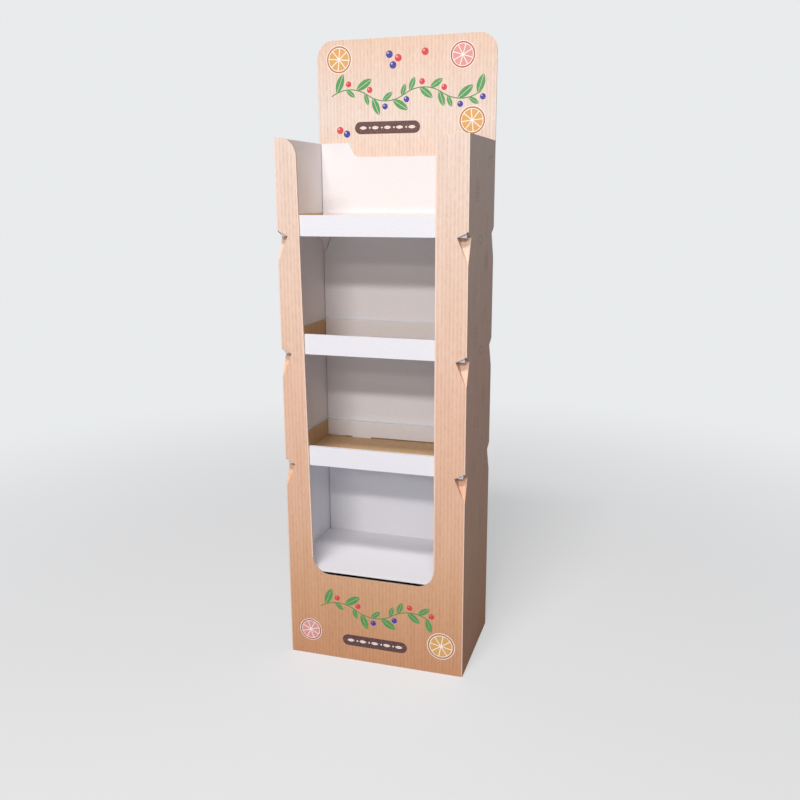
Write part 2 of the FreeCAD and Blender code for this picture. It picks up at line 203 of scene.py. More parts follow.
def printedFace(tree, along, height, cornerDistance=None, facingSize=None):
    # the kraft-look print: a fade, partly printed and partly painted light, with upright streaks, bands and
    # ribs, some flecks, and worn folds with a painted highlight and painted shade
    look = kraftPrint
    # the fade is partly the print's own and partly painted light: paler towards the top, painted shade
    # towards the floor
    share = addNode(tree, "ShaderNodeMath", {"operation": "DIVIDE"}, {0: height, 1: headerHigh.z})
    fadeAndPaintedLight = addNode(tree, "ShaderNodeValToRGB", None, {"Fac": share.outputs[0]})
    stops = fadeAndPaintedLight.color_ramp.elements
    while len(stops) < len(look["fadeAndPaintedLight"]):
        stops.new(0.5)
    for stop, (position, colour) in zip(stops, look["fadeAndPaintedLight"]):
        stop.position = position
        stop.color = linearColour(colour)

    # three upright patterns darken the print together
    wave = ribs(tree, along)
    patches = grain(tree, along, height, look["ribPatchWidth"], look["ribPatchLength"], 1)
    patchy = addNode(tree, "ShaderNodeMath", {"operation": "MULTIPLY"}, {0: wave, 1: patches})
    streaks = grain(tree, along, height, look["streakWidth"], look["streakLength"], 3)
    bands = grain(tree, along, height, look["bandWidth"], look["bandLength"], 2)
    total = None
    patterns = {"ribWeight": patchy.outputs[0], "streakWeight": streaks, "bandWeight": bands}
    for weight, pattern in patterns.items():
        step = addNode(tree, "ShaderNodeMath", {"operation": "MULTIPLY_ADD"},
                       {0: pattern, 1: look[weight], 2: total or 0.0})
        total = step.outputs[0]
    patterned = addNode(tree, "ShaderNodeMix", {"data_type": "RGBA", "blend_type": "MULTIPLY"},
                        {mixFactor: total, mixA: fadeAndPaintedLight.outputs["Color"], mixB: linearColour(look["dark"])})

    # a fleck stands near the middle of some cells
    cell = addNode(tree, "ShaderNodeCombineXYZ", None, {"X": along, "Y": height})
    cells = addNode(tree, "ShaderNodeTexVoronoi", {"voronoi_dimensions": "2D", "feature": "F1"},
                    {"Vector": cell.outputs[0], "Scale": 1 / look["fleckSpacing"]})
    fleckEdge = look["fleckSize"] / look["fleckSpacing"]
    spot = addNode(tree, "ShaderNodeMapRange", None,
                   {"Value": cells.outputs["Distance"], "From Min": fleckEdge, "From Max": fleckEdge / 2,
                    "To Max": look["fleckShare"]})
    chance = addNode(tree, "ShaderNodeSeparateColor", None, {0: cells.outputs["Color"]})
    chosen = addNode(tree, "ShaderNodeMath", {"operation": "GREATER_THAN"},
                     {0: chance.outputs[0], 1: look["fleckless"]})
    fleck = addNode(tree, "ShaderNodeMath", {"operation": "MULTIPLY"},
                    {0: spot.outputs[0], 1: chosen.outputs[0]})
    flecked = addNode(tree, "ShaderNodeMix", {"data_type": "RGBA"},
                      {mixFactor: fleck.outputs[0], mixA: patterned.outputs[mixColour],
                       mixB: linearColour(look["fleckDark"])})
    colour = flecked.outputs[mixColour]
    # near a fold: a paler line on the front, rubbed ink and a painted highlight, and painted shade on the
    # side face beside it
    if cornerDistance is not None:
        near = addNode(tree, "ShaderNodeMapRange", None,
                       {"Value": cornerDistance, "From Min": look["creaseWidth"], "From Max": 0.0,
                        "To Max": look["creaseShare"]})
        for axis, blend, shade in (("Y", "MIX", "edgeHighlightAndWear"), ("X", "MULTIPLY", "foldPaintedShade")):
            reach = addNode(tree, "ShaderNodeMath", {"operation": "MULTIPLY"},
                            {0: near.outputs[0], 1: facingSize[axis]})
            creased = addNode(tree, "ShaderNodeMix", {"data_type": "RGBA", "blend_type": blend},
                              {mixFactor: reach.outputs[0], mixA: colour, mixB: linearColour(look[shade])})
            colour = creased.outputs[mixColour]
    return colour, wave


def whiteFace(tree, along, height):
    # white-top liner: the brown pulp under it shows through as a faint mottle
    look = whiteLiner
    spots = grain(tree, along, height, look["mottleSize"], look["mottleSize"] * 2, 3)
    share = addNode(tree, "ShaderNodeMapRange", None,
                    {"Value": spots, "From Min": look["mottleFrom"], "From Max": look["mottleTo"]})
    paper = addNode(tree, "ShaderNodeMix", {"data_type": "RGBA"},
                    {mixFactor: share.outputs[0], mixA: linearColour(look["paper"]),
                     mixB: linearColour(look["mottle"])})
    return paper.outputs[mixColour]


def cutFace(tree, along, depth, thickness, paperColour, gapColour):
    # the cut board: a liner on each side, and between them the wave of the flute over dark gaps, painted
    # shade in the flutes' hollows
    look = cutEdge
    share = addNode(tree, "ShaderNodeMath", {"operation": "DIVIDE"}, {0: depth, 1: thickness})
    turn = addNode(tree, "ShaderNodeMath", {"operation": "MULTIPLY"},
                   {0: along, 1: 2 * math.pi / board["flutePitch"]})
    wave = addNode(tree, "ShaderNodeMath", {"operation": "SINE"}, {0: turn.outputs[0]})
    middle = addNode(tree, "ShaderNodeMath", {"operation": "MULTIPLY_ADD"},
                     {0: wave.outputs[0], 1: look["waveShare"], 2: 0.5})
    flute = addNode(tree, "ShaderNodeMath", {"operation": "COMPARE"},
                    {0: share.outputs[0], 1: middle.outputs[0], 2: look["fluteShare"]})
    core = addNode(tree, "ShaderNodeMath", {"operation": "COMPARE"},
                   {0: share.outputs[0], 1: 0.5, 2: 0.5 - look["linerShare"]})
    liner = addNode(tree, "ShaderNodeMath", {"operation": "SUBTRACT"}, {0: 1.0, 1: core.outputs[0]})
    paper = addNode(tree, "ShaderNodeMath", {"operation": "MAXIMUM"},
                    {0: flute.outputs[0], 1: liner.outputs[0]})
    colour = addNode(tree, "ShaderNodeMix", {"data_type": "RGBA"},
                     {mixFactor: paper.outputs[0], mixA: gapColour, mixB: linearColour(paperColour)})
    return colour.outputs[mixColour]


def pressRibs(tree, shader, wave, height):
    bump = addNode(tree, "ShaderNodeBump", None, {"Height": wave, "Strength": 1.0, "Distance": height})
    tree.links.new(bump.outputs[0], shader.inputs["Normal"])


# The die crushed and rounded the board along the two posts; a paler rim on the front is painted there as the
# highlight of that rounded edge
window = {"foot": 199 * mm, "right": 134 * mm, "leftFoot": -141 * mm, "leftTop": -154 * mm,
          "corner": 38 * mm, "rim": 2.6 * mm, "rimDepth": 0.2 * mm, "rimHighlightShare": 0.6}


def windowRimHighlight(tree, place):
    # paints a highlight on the front along both sides of the window, above its rounded lower corners
    slope = (window["leftTop"] - window["leftFoot"]) / (sleeveHigh.z - window["foot"])
    risen = addNode(tree, "ShaderNodeMath", {"operation": "SUBTRACT"}, {0: place["Z"], 1: window["foot"]})
    left = addNode(tree, "ShaderNodeMath", {"operation": "MULTIPLY_ADD"},
                   {0: risen.outputs[0], 1: slope, 2: window["leftFoot"]})
    nearLeft = addNode(tree, "ShaderNodeMath", {"operation": "COMPARE"},
                       {0: place["X"], 1: left.outputs[0], 2: window["rim"]})
    nearRight = addNode(tree, "ShaderNodeMath", {"operation": "COMPARE"},
                        {0: place["X"], 1: window["right"], 2: window["rim"]})
    either = addNode(tree, "ShaderNodeMath", {"operation": "MAXIMUM"},
                     {0: nearLeft.outputs[0], 1: nearRight.outputs[0]})
    above = addNode(tree, "ShaderNodeMath", {"operation": "GREATER_THAN"},
                    {0: risen.outputs[0], 1: window["corner"]})
    onFront = addNode(tree, "ShaderNodeMath", {"operation": "LESS_THAN"},
                      {0: place["Y"], 1: sleeveLow.y + window["rimDepth"]})
    spot = addNode(tree, "ShaderNodeMath", {"operation": "MULTIPLY"},
                   {0: above.outputs[0], 1: onFront.outputs[0]})
    share = addNode(tree, "ShaderNodeMath", {"operation": "MULTIPLY"},
                    {0: either.outputs[0], 1: spot.outputs[0]})
    rim = addNode(tree, "ShaderNodeMath", {"operation": "MULTIPLY"},
                  {0: share.outputs[0], 1: window["rimHighlightShare"]})
    return rim.outputs[0]


def sleeveBoard():
    # Corrugated board, flexo printed outside over a white-top liner: matt, ribbed by its flutes,
    # warm outside, white inside, and open flutes where it is cut.
    material, tree, shader = newMaterial("corrugated board, flexo printed", 0.62)
    spots = readPlace(tree)
    thickness = board["sleeveThickness"]

    fromSide = addNode(tree, "ShaderNodeMath", {"operation": "SUBTRACT"},
                       {0: sleeveHigh.x, 1: spots["placeSize"]["X"]}).outputs[0]
    fromFront = addNode(tree, "ShaderNodeMath", {"operation": "SUBTRACT"},
                        {0: sleeveHigh.y, 1: spots["placeSize"]["Y"]}).outputs[0]
    depth = addNode(tree, "ShaderNodeMath", {"operation": "MINIMUM"}, {0: fromSide, 1: fromFront})
    corner = addNode(tree, "ShaderNodeMath", {"operation": "MAXIMUM"}, {0: fromSide, 1: fromFront})
    outsideColour, wave = printedFace(tree, spots["along"], spots["place"]["Z"], corner.outputs[0],
                                      spots["facingSize"])
    # a painted highlight along the front rim of the window's sides
    rimHighlighted = addNode(tree, "ShaderNodeMix", {"data_type": "RGBA"},
                     {mixFactor: windowRimHighlight(tree, spots["place"]), mixA: outsideColour,
                      mixB: linearColour(kraftPrint["edgeHighlightAndWear"])})
    insideColour = whiteFace(tree, spots["along"], spots["place"]["Z"])

    # a face is outside where it turns away from the upright axis
    flat = addNode(tree, "ShaderNodeVectorMath", {"operation": "MULTIPLY"}, {0: spots["point"], 1: (1, 1, 0)})
    away = addNode(tree, "ShaderNodeVectorMath", {"operation": "DOT_PRODUCT"},
                   {0: flat.outputs[0], 1: spots["direction"]})
    outside = addNode(tree, "ShaderNodeMath", {"operation": "GREATER_THAN"},
                      {0: away.outputs["Value"], 1: 0.0})
    faces = addNode(tree, "ShaderNodeMix", {"data_type": "RGBA"},
                    {mixFactor: outside.outputs[0], mixA: insideColour, mixB: rimHighlighted.outputs[mixColour]})

    # cut edges: those that face up or down, and the two sides of the window
    level = addNode(tree, "ShaderNodeMath", {"operation": "GREATER_THAN"},
                    {0: spots["facingSize"]["Z"], 1: turned["level"]})
    frontDepth = addNode(tree, "ShaderNodeMath", {"operation": "ADD"},
                         {0: spots["place"]["Y"], 1: sleeveHigh.y})
    inFront = addNode(tree, "ShaderNodeMath", {"operation": "LESS_THAN"},
                      {0: frontDepth.outputs[0], 1: thickness * cutEdge["windowDepth"]})
    crosswise = addNode(tree, "ShaderNodeMath", {"operation": "LESS_THAN"},
                        {0: spots["facingSize"]["Y"], 1: turned["crosswise"]})
    inside = addNode(tree, "ShaderNodeMath", {"operation": "GREATER_THAN"},
                     {0: fromSide, 1: thickness * cutEdge["besideWall"]})
    windowSide = addNode(tree, "ShaderNodeMath", {"operation": "MULTIPLY"},
                         {0: inFront.outputs[0], 1: crosswise.outputs[0]})
    windowEdge = addNode(tree, "ShaderNodeMath", {"operation": "MULTIPLY"},
                         {0: windowSide.outputs[0], 1: inside.outputs[0]})
    cut = addNode(tree, "ShaderNodeMath", {"operation": "MAXIMUM"},
                  {0: level.outputs[0], 1: windowEdge.outputs[0]})

    # the flutes stand side by side along X in the front and back panels, and along Y in the sides
    sideNearer = addNode(tree, "ShaderNodeMath", {"operation": "LESS_THAN"}, {0: fromSide, 1: fromFront})
    cutAlong = addNode(tree, "ShaderNodeMix", {"data_type": "FLOAT"},
                       {0: sideNearer.outputs[0], 2: spots["place"]["X"], 3: spots["place"]["Y"]})
    # between the liners: painted shade in the flutes' hollows where the cut faces up or down, the flute's own
    # side where it runs along the flutes
    gap = addNode(tree, "ShaderNodeMix", {"data_type": "RGBA"},
                  {mixFactor: spots["facingSize"]["Z"], mixA: linearColour(cutEdge["uprightGap"]),
                   mixB: linearColour(cutEdge["gap"])})
    cutColour = cutFace(tree, cutAlong.outputs[0], depth.outputs[0], thickness, cutEdge["paper"],
                        gap.outputs[mixColour])
    everything = addNode(tree, "ShaderNodeMix", {"data_type": "RGBA"},
                         {mixFactor: cut.outputs[0], mixA: faces.outputs[mixColour], mixB: cutColour})
    tree.links.new(everything.outputs[mixColour], shader.inputs["Base Color"])
    pressRibs(tree, shader, wave, kraftPrint["ribHeight"])
    return material


def headerBoard():
    # The same board as the sleeve, printed on its front alone: matt and warm, with a white back.
    material, tree, shader = newMaterial("header board, flexo printed", 0.6)
    spots = readPlace(tree)
    x, z = spots["place"]["X"], spots["place"]["Z"]
    frontColour, wave = printedFace(tree, x, z)
    backColour = whiteFace(tree, x, z)
    isBack = addNode(tree, "ShaderNodeMath", {"operation": "GREATER_THAN"}, {0: spots["facing"]["Y"], 1: 0.0})
    faces = addNode(tree, "ShaderNodeMix", {"data_type": "RGBA"},
                    {mixFactor: isBack.outputs[0], mixA: frontColour, mixB: backColour})
    depth = addNode(tree, "ShaderNodeMath", {"operation": "SUBTRACT"},
                    {0: spots["place"]["Y"], 1: headerLow.y})
    # between the liners: painted shade in the flutes' hollows where the cut faces up or down, the flute's own
    # side where it runs along the flutes
    gap = addNode(tree, "ShaderNodeMix", {"data_type": "RGBA"},
                  {mixFactor: spots["facingSize"]["Z"], mixA: linearColour(cutEdge["uprightGap"]),
                   mixB: linearColour(cutEdge["gap"])})
    cutColour = cutFace(tree, x, depth.outputs[0], board["sleeveThickness"], cutEdge["paper"],
                        gap.outputs[mixColour])
    cut = addNode(tree, "ShaderNodeMath", {"operation": "LESS_THAN"},
                  {0: spots["facingSize"]["Y"], 1: turned["edgeOn"]})
    everything = addNode(tree, "ShaderNodeMix", {"data_type": "RGBA"},
                         {mixFactor: cut.outputs[0], mixA: faces.outputs[mixColour], mixB: cutColour})
    tree.links.new(everything.outputs[mixColour], shader.inputs["Base Color"])
    pressRibs(tree, shader, wave, kraftPrint["ribHeight"])
    return material


def linerBoard():
    # Thinner corrugated board, white on both sides and not printed: matt, faintly mottled and
    # ribbed, with its flutes showing along the cut top and the V-shaped cuts.
    material, tree, shader = newMaterial("corrugated board, white liners, cut edges", 0.58)
    spots = readPlace(tree)
    paper = whiteFace(tree, spots["place"]["X"], spots["place"]["Z"])
    depth = addNode(tree, "ShaderNodeMath", {"operation": "SUBTRACT"},
                    {0: spots["place"]["Y"], 1: linerLow.y})
    cutColour = cutFace(tree, spots["place"]["X"], depth.outputs[0], board["trayThickness"],
                        cutEdge["whitePaper"], linearColour(cutEdge["whiteGapShade"]))
    cut = addNode(tree, "ShaderNodeMath", {"operation": "LESS_THAN"},
                  {0: spots["facingSize"]["Y"], 1: turned["edgeOn"]})
    everything = addNode(tree, "ShaderNodeMix", {"data_type": "RGBA"},
                         {mixFactor: cut.outputs[0], mixA: paper, mixB: cutColour})
    tree.links.new(everything.outputs[mixColour], shader.inputs["Base Color"])
    pressRibs(tree, shader, ribs(tree, spots["place"]["X"]), whiteLiner["ribHeight"])
    return material


def shelfBoard():
    # The same white board folded into a box with its edges turned under: matt white all over.
    material, tree, shader = newMaterial("corrugated board, white liners, folded", 0.58)
    spots = readPlace(tree)
    upright = whiteFace(tree, spots["along"], spots["place"]["Z"])
    flat = whiteFace(tree, spots["place"]["X"], spots["place"]["Y"])
    paper = addNode(tree, "ShaderNodeMix", {"data_type": "RGBA"},
                    {mixFactor: spots["facingSize"]["Z"], mixA: upright, mixB: flat})
    tree.links.new(paper.outputs[mixColour], shader.inputs["Base Color"])
    across = addNode(tree, "ShaderNodeMath", {"operation": "MULTIPLY_ADD"},
                     {0: spots["place"]["X"], 1: spots["facingSize"]["Z"], 2: spots["along"]})
    pressRibs(tree, shader, ribs(tree, across.outputs[0]), whiteLiner["ribHeight"])
    return material


kraftInside = {"paper": "#d6b186", "dark": "#b99569", "fibreWidth": 2 * mm, "fibreLength": 9 * mm,
               "darkFrom": 0.4, "darkTo": 0.7}

trayPlaces = {
    "underFoot": 1 * mm,           # heights start this far under a tray, clear of its lowest face
    "floorSlack": 2 * mm,          # and a tray's floor lies this near above its board's thickness
    "sideSlack": 0.3 * mm,
    "inward": -0.1,                # X times the facing along X, below this where a side faces inward
}


def trayBoard():
    # Corrugated board, white liner outside and unbleached kraft inside: the walls rolled inward
    # show white again, and the floor and the two plain sides show brown.
    material, tree, shader = newMaterial("corrugated board, white and kraft liners", 0.6)
    spots = readPlace(tree)
    place, facing = spots["place"], spots["facing"]
    white = whiteFace(tree, spots["along"], place["Z"])

    # the three trays are alike, so a height is taken from the foot of its own tray
    pitch = nextTrayLow.z - trayLow.z
    fromLowest = addNode(tree, "ShaderNodeMath", {"operation": "SUBTRACT"},
                         {0: place["Z"], 1: trayLow.z - trayPlaces["underFoot"]})
    height = addNode(tree, "ShaderNodeMath", {"operation": "MODULO"}, {0: fromLowest.outputs[0], 1: pitch})
    fibres = grain(tree, place["X"], place["Y"], kraftInside["fibreLength"], kraftInside["fibreWidth"], 4)
    fibreShare = addNode(tree, "ShaderNodeMapRange", None,
                         {"Value": fibres, "From Min": kraftInside["darkFrom"],
                          "From Max": kraftInside["darkTo"]})
    brown = addNode(tree, "ShaderNodeMix", {"data_type": "RGBA"},
                    {mixFactor: fibreShare.outputs[0], mixA: linearColour(kraftInside["paper"]),
                     mixB: linearColour(kraftInside["dark"])})

    faceUp = addNode(tree, "ShaderNodeMath", {"operation": "GREATER_THAN"},
                     {0: facing["Z"], 1: turned["level"]})
    low = addNode(tree, "ShaderNodeMath", {"operation": "LESS_THAN"},
                  {0: height.outputs[0], 1: board["trayThickness"] + trayPlaces["floorSlack"]})
    isFloor = addNode(tree, "ShaderNodeMath", {"operation": "MULTIPLY"},
                      {0: faceUp.outputs[0], 1: low.outputs[0]})
    inward = addNode(tree, "ShaderNodeMath", {"operation": "MULTIPLY"}, {0: place["X"], 1: facing["X"]})
    facesIn = addNode(tree, "ShaderNodeMath", {"operation": "LESS_THAN"},
                      {0: inward.outputs[0], 1: trayPlaces["inward"]})
    atSide = addNode(tree, "ShaderNodeMath", {"operation": "GREATER_THAN"},
                     {0: spots["placeSize"]["X"],
                      1: trayHigh.x - board["trayThickness"] - trayPlaces["sideSlack"]})
    isSide = addNode(tree, "ShaderNodeMath", {"operation": "MULTIPLY"},
                     {0: facesIn.outputs[0], 1: atSide.outputs[0]})
    isBrown = addNode(tree, "ShaderNodeMath", {"operation": "MAXIMUM"},
                      {0: isFloor.outputs[0], 1: isSide.outputs[0]})
    faces = addNode(tree, "ShaderNodeMix", {"data_type": "RGBA"},
                    {mixFactor: isBrown.outputs[0], mixA: white, mixB: brown.outputs[mixColour]})

    # the top edge of each plain side is cut, so it shows the flutes
    sideTop = addNode(tree, "ShaderNodeMath", {"operation": "MULTIPLY"},
                      {0: faceUp.outputs[0], 1: atSide.outputs[0]})
    isCut = addNode(tree, "ShaderNodeMath", {"operation": "GREATER_THAN"},
                    {0: sideTop.outputs[0], 1: isFloor.outputs[0]})
    depth = addNode(tree, "ShaderNodeMath", {"operation": "SUBTRACT"},
                    {0: trayHigh.x, 1: spots["placeSize"]["X"]})
    cutColour = cutFace(tree, place["Y"], depth.outputs[0], board["trayThickness"], cutEdge["whitePaper"],
                        linearColour(cutEdge["whiteGapShade"]))
    everything = addNode(tree, "ShaderNodeMix", {"data_type": "RGBA"},
                         {mixFactor: isCut.outputs[0], mixA: faces.outputs[mixColour], mixB: cutColour})
    tree.links.new(everything.outputs[mixColour], shader.inputs["Base Color"])
    pressRibs(tree, shader, ribs(tree, spots["along"]), whiteLiner["ribHeight"])
    return material


dress("body_sleeve", sleeveBoard())
dress("header_card", headerBoard())
dress("back_liner", linerBoard())
dress("base_shelf", shelfBoard())
trayMaterial = trayBoard()
for trayName in ("lower_tray", "middle_tray", "upper_tray"):
    dress(trayName, trayMaterial)
print("board finishes made")


# The print: leaves, berries and slices of fruit on the header, the base panel and the sides.
# Each motif is modelled once, flat and face up, then copied to its places and given its thickness.

inks = {
    "stem": {"colour": "#4f8a52", "lift": 0.06 * mm},
    "leaf": {"colour": "#3f9a50", "lift": 0.10 * mm},
    "berryBlue": {"colour": "#2a2f9c", "lift": 0.13 * mm},
    "berryRed": {"colour": "#d8343f", "lift": 0.13 * mm},
    "pith": {"colour": "#fdf6ee", "lift": 0.08 * mm},
    "rindGold": {"colour": "#b9742c", "lift": 0.13 * mm},
    "fleshGold": {"colour": "#e0a95c", "lift": 0.12 * mm},
    "rindPink": {"colour": "#b3514f", "lift": 0.13 * mm},
    "fleshPink": {"colour": "#e39a92", "lift": 0.12 * mm},
    "brown": {"colour": "#573436", "lift": 0.10 * mm},
    "cream": {"colour": "#fbeedd", "lift": 0.15 * mm},
    "shade": {"colour": "#c09a84", "lift": 0.06 * mm},
}
printSink = 0.05 * mm              # how far a printed shape reaches into the board under it

leafShape = {"length": 42 * mm, "width": 17 * mm, "vein": 1.2 * mm, "corners": 120}
berryShape = {"radius": 7 * mm, "glint": 1.7 * mm, "glintOffset": 2.5 * mm, "corners": 32}
sliceShape = {"radius": 31 * mm, "rind": 3.6 * mm, "pithGap": 2.0 * mm, "wedges": 8, "wedgeGap": 2.2 * mm,
              "margin": 1.8 * mm, "corners": 72}
labelShape = {"length": 150 * mm, "height": 26 * mm, "endShare": 0.499, "endSteps": 10, "step": 28 * mm,
              "leafBack": 8 * mm, "leafSize": 0.4, "dotAhead": 15.5 * mm, "dotSize": 0.28}
outlineWidth = 1.3 * mm
inkWear = {"width": 1.6 * mm, "length": 3 * mm, "from": 0.5, "to": 0.8, "share": 0.3}

# an arc of the garland bears four leaves, at angles in degrees from its middle, and two berries
garland = {"chord": 84 * mm, "bend": math.radians(34), "width": 2.2 * mm, "start": 0.5 * mm, "arcSteps": 16,
           "leans": (-24, -6, 12, 28), "leafTurn": math.radians(44), "leafSize": 0.80, "leafSwing": 0.20,
           "berryTurn": math.radians(60), "berryReach": 13 * mm, "berrySize": 0.9}
garlandRadius = garland["chord"] / 2 / math.sin(garland["bend"])

upright = Matrix.Rotation(math.pi / 2, 4, "X")
panels = {
    "header": Matrix.Translation((0, headerLow.y, 0)) @ upright,
    "base": Matrix.Translation((0, sleeveLow.y, 0)) @ upright,
    "rightSide": Matrix.Translation((sleeveHigh.x, 0, 0)) @ Matrix.Rotation(math.pi / 2, 4, "Z") @ upright,
    "leftSide": Matrix.Translation((sleeveLow.x, 0, 0)) @ Matrix.Rotation(-math.pi / 2, 4, "Z") @ upright,
}


def newDisc(name, radius, corners, centre=(0, 0, 0)):
    # a flat disc, left in edit mode with all of it selected
    bpy.ops.object.select_all(action="DESELECT")
    bpy.ops.mesh.primitive_circle_add(vertices=corners, radius=radius, fill_type="NGON", location=centre)
    disc = bpy.context.object
    disc.name = name
    bpy.ops.object.transform_apply(location=True, rotation=True, scale=True)
    bpy.ops.object.mode_set(mode="EDIT")
    bpy.ops.mesh.select_all(action="SELECT")
    return disc


def newPlane(name, length, width, centre=(0, 0, 0)):
    # a flat strip, left in edit mode with all of it selected
    bpy.ops.object.select_all(action="DESELECT")
    bpy.ops.mesh.primitive_plane_add(size=1, location=centre)
    plane = bpy.context.object
    plane.name = name
    plane.scale = (length, width, 1)
    bpy.ops.object.transform_apply(location=True, rotation=True, scale=True)
    bpy.ops.object.mode_set(mode="EDIT")
    bpy.ops.mesh.select_all(action="SELECT")
    return plane


def hollowOut(width):
    # in edit mode, turns the selected faces into outlines of a width
    bpy.ops.mesh.inset(thickness=width, use_boundary=True)
    bpy.ops.mesh.delete(type="FACE")


def modelLeaf(name, outlined=False):
    # two caps of a disc on either side of a bare vein, from the leaf's foot at the origin
    half = leafShape["length"] / 2
    bulge = (leafShape["width"] - leafShape["vein"]) / 2
    radius = (half ** 2 + bulge ** 2) / (2 * bulge)
    edge = 0.0 if outlined else leafShape["vein"] / 2
    leaf = newDisc(name, radius, leafShape["corners"], (half, edge + bulge - radius, 0))
    bpy.ops.mesh.bisect(plane_co=(0, edge, 0), plane_no=(0, 1, 0), clear_inner=True)
    bpy.ops.mesh.select_all(action="SELECT")
    bpy.ops.mesh.duplicate()
    bpy.ops.transform.resize(value=(1, -1, 1), center_override=(0, 0, 0))
    bpy.ops.mesh.flip_normals()
    if outlined:
        bpy.ops.mesh.select_all(action="SELECT")
        bpy.ops.mesh.remove_doubles(threshold=board["joinDistance"])
        bpy.ops.mesh.dissolve_limited(angle_limit=math.radians(1), use_dissolve_boundaries=False)
        bpy.ops.mesh.select_all(action="SELECT")
        hollowOut(outlineWidth)
    bpy.ops.object.mode_set(mode="OBJECT")
    return leaf


def modelBerry(name):
    # a disc with a bare glint to one side of its middle
    berry = newDisc(name, berryShape["radius"], berryShape["corners"])
    bpy.ops.mesh.inset(thickness=berryShape["radius"] - berryShape["glint"])
    side = berryShape["glintOffset"]
    bpy.ops.transform.translate(value=(-side, side, 0))
    bpy.ops.mesh.delete(type="FACE")
    bpy.ops.object.mode_set(mode="OBJECT")
    return berry


def modelRing(name, radius, width):
    ring = newDisc(name, radius, sliceShape["corners"])
    hollowOut(width)
    bpy.ops.object.mode_set(mode="OBJECT")
    return ring


def modelPith(name):
    # the pale ground of a slice, which passes the rind as a plain margin
    pith = newDisc(name, sliceShape["radius"] + sliceShape["margin"], sliceShape["corners"])
    bpy.ops.mesh.inset(thickness=sliceShape["margin"])
    bpy.ops.object.mode_set(mode="OBJECT")
    return pith


def modelFlesh(name, outlined=False):
    # one wedge cut from a disc and spun round
    look = sliceShape
    flesh = newDisc(name, look["radius"] - look["rind"] - look["pithGap"], look["corners"])
    half = math.pi / look["wedges"]
    for side in (1, -1):
        across = Vector((math.sin(half), -side * math.cos(half), 0))
        bpy.ops.mesh.select_all(action="SELECT")
        bpy.ops.mesh.bisect(plane_co=across * (look["wedgeGap"] / 2), plane_no=across, clear_inner=True)
    bpy.ops.mesh.select_all(action="SELECT")
    if outlined:
        hollowOut(outlineWidth)
        bpy.ops.mesh.select_all(action="SELECT")
    bpy.ops.mesh.spin(steps=look["wedges"] - 1, dupli=True, angle=2 * math.pi * (1 - 1 / look["wedges"]),
                      center=(0, 0, 0), axis=(0, 0, 1))
    bpy.ops.object.mode_set(mode="OBJECT")
    return flesh


def modelLabel(name):
    # a plain label: a long strip with rounded ends
    label = newPlane(name, labelShape["length"], labelShape["height"])
    bpy.ops.mesh.bevel(affect="VERTICES", offset=labelShape["height"] * labelShape["endShare"],
                       segments=labelShape["endSteps"])
    bpy.ops.object.mode_set(mode="OBJECT")
    return label


def modelStem(name, arcs):
    # a short start of line, whose end is spun up and down along the arcs of the garland
    start = garland["start"]
    stem = newPlane(name, start, garland["width"], (-start / 2, 0, 0))
    bpy.ops.transform.rotate(value=-garland["bend"], orient_axis="Z", center_override=(0, 0, 0))
    bpy.ops.mesh.select_mode(type="EDGE")
    bpy.ops.mesh.select_all(action="DESELECT")
    shape = bmesh.from_edit_mesh(stem.data)
    end = min(shape.edges, key=lambda edge: (edge.verts[0].co + edge.verts[1].co).length)
    end.select_set(True)
    bmesh.update_edit_mesh(stem.data)
    for number in range(arcs):
        side = 1 if number % 2 == 0 else -1
        centre = ((number + 0.5) * garland["chord"], -side * garlandRadius * math.cos(garland["bend"]), 0)
        bpy.ops.mesh.spin(steps=garland["arcSteps"], angle=side * 2 * garland["bend"], center=centre,
                          axis=(0, 0, 1))
    bpy.ops.object.mode_set(mode="OBJECT")
    return stem


def garlandSpot(number, lean):
    # point and direction on the garland's arc of a number, at an angle from the middle of the arc
    side = 1 if number % 2 == 0 else -1
    x = (number + 0.5) * garland["chord"] + garlandRadius * math.sin(lean)
    y = side * garlandRadius * (math.cos(lean) - math.cos(garland["bend"]))
    return Vector((x, y, 0)), -side * lean


placed = {}


def placeMotif(panel, ink, master, spot, turn=0.0, size=1.0):
    # copies a motif to a panel, at a place in metres from the panel's middle and from the floor
    copy = bpy.data.objects.new(master.name, master.data.copy())
    stand = Matrix.Translation((spot[0], spot[1], 0)) @ Matrix.Rotation(turn, 4, "Z") @ Matrix.Scale(size, 4)
    copy.data.transform(panels[panel] @ stand)
    bpy.context.scene.collection.objects.link(copy)
    placed.setdefault((panel, ink), []).append(copy)


def placeGarland(panel, start, arcs, stem, leaf, berry):
    placeMotif(panel, "stem", stem, start)
    for number in range(arcs):
        for place, lean in enumerate(garland["leans"]):
            spot, slope = garlandSpot(number, math.radians(lean))
            side = 1 if (number + place) % 2 == 0 else -1
            size = garland["leafSize"] + garland["leafSwing"] * math.cos(3 * place + number)
            foot = (start[0] + spot.x, start[1] + spot.y)
            placeMotif(panel, "leaf", leaf, foot, slope + side * garland["leafTurn"], size)
            if place % 2 == 1:
                away = slope - side * garland["berryTurn"]
                reach = garland["berryReach"]
                berrySpot = (foot[0] + reach * math.cos(away), foot[1] + reach * math.sin(away))
                ink = "berryRed" if number % 2 == 0 else "berryBlue"
                placeMotif(panel, ink, berry, berrySpot, 0.0, garland["berrySize"])


def placeSlice(panel, fruit, spot, turn, size):
    placeMotif(panel, "pith", pithMaster, spot, turn, size)
    placeMotif(panel, "rind" + fruit, rindMaster, spot, turn, size)
    placeMotif(panel, "flesh" + fruit, fleshMaster, spot, turn, size)


def placeLabel(panel, spot, label, leaf, berry):
    # a dark label, with a row of pale leaves and dots between them
    look = labelShape
    placeMotif(panel, "brown", label, spot)
    for step in range(-2, 3):
        x = spot[0] + step * look["step"]
        placeMotif(panel, "cream", leaf, (x - look["leafBack"], spot[1]), 0.0, look["leafSize"])
        if step < 2:
            placeMotif(panel, "cream", berry, (x + look["dotAhead"], spot[1]), 0.0, look["dotSize"])


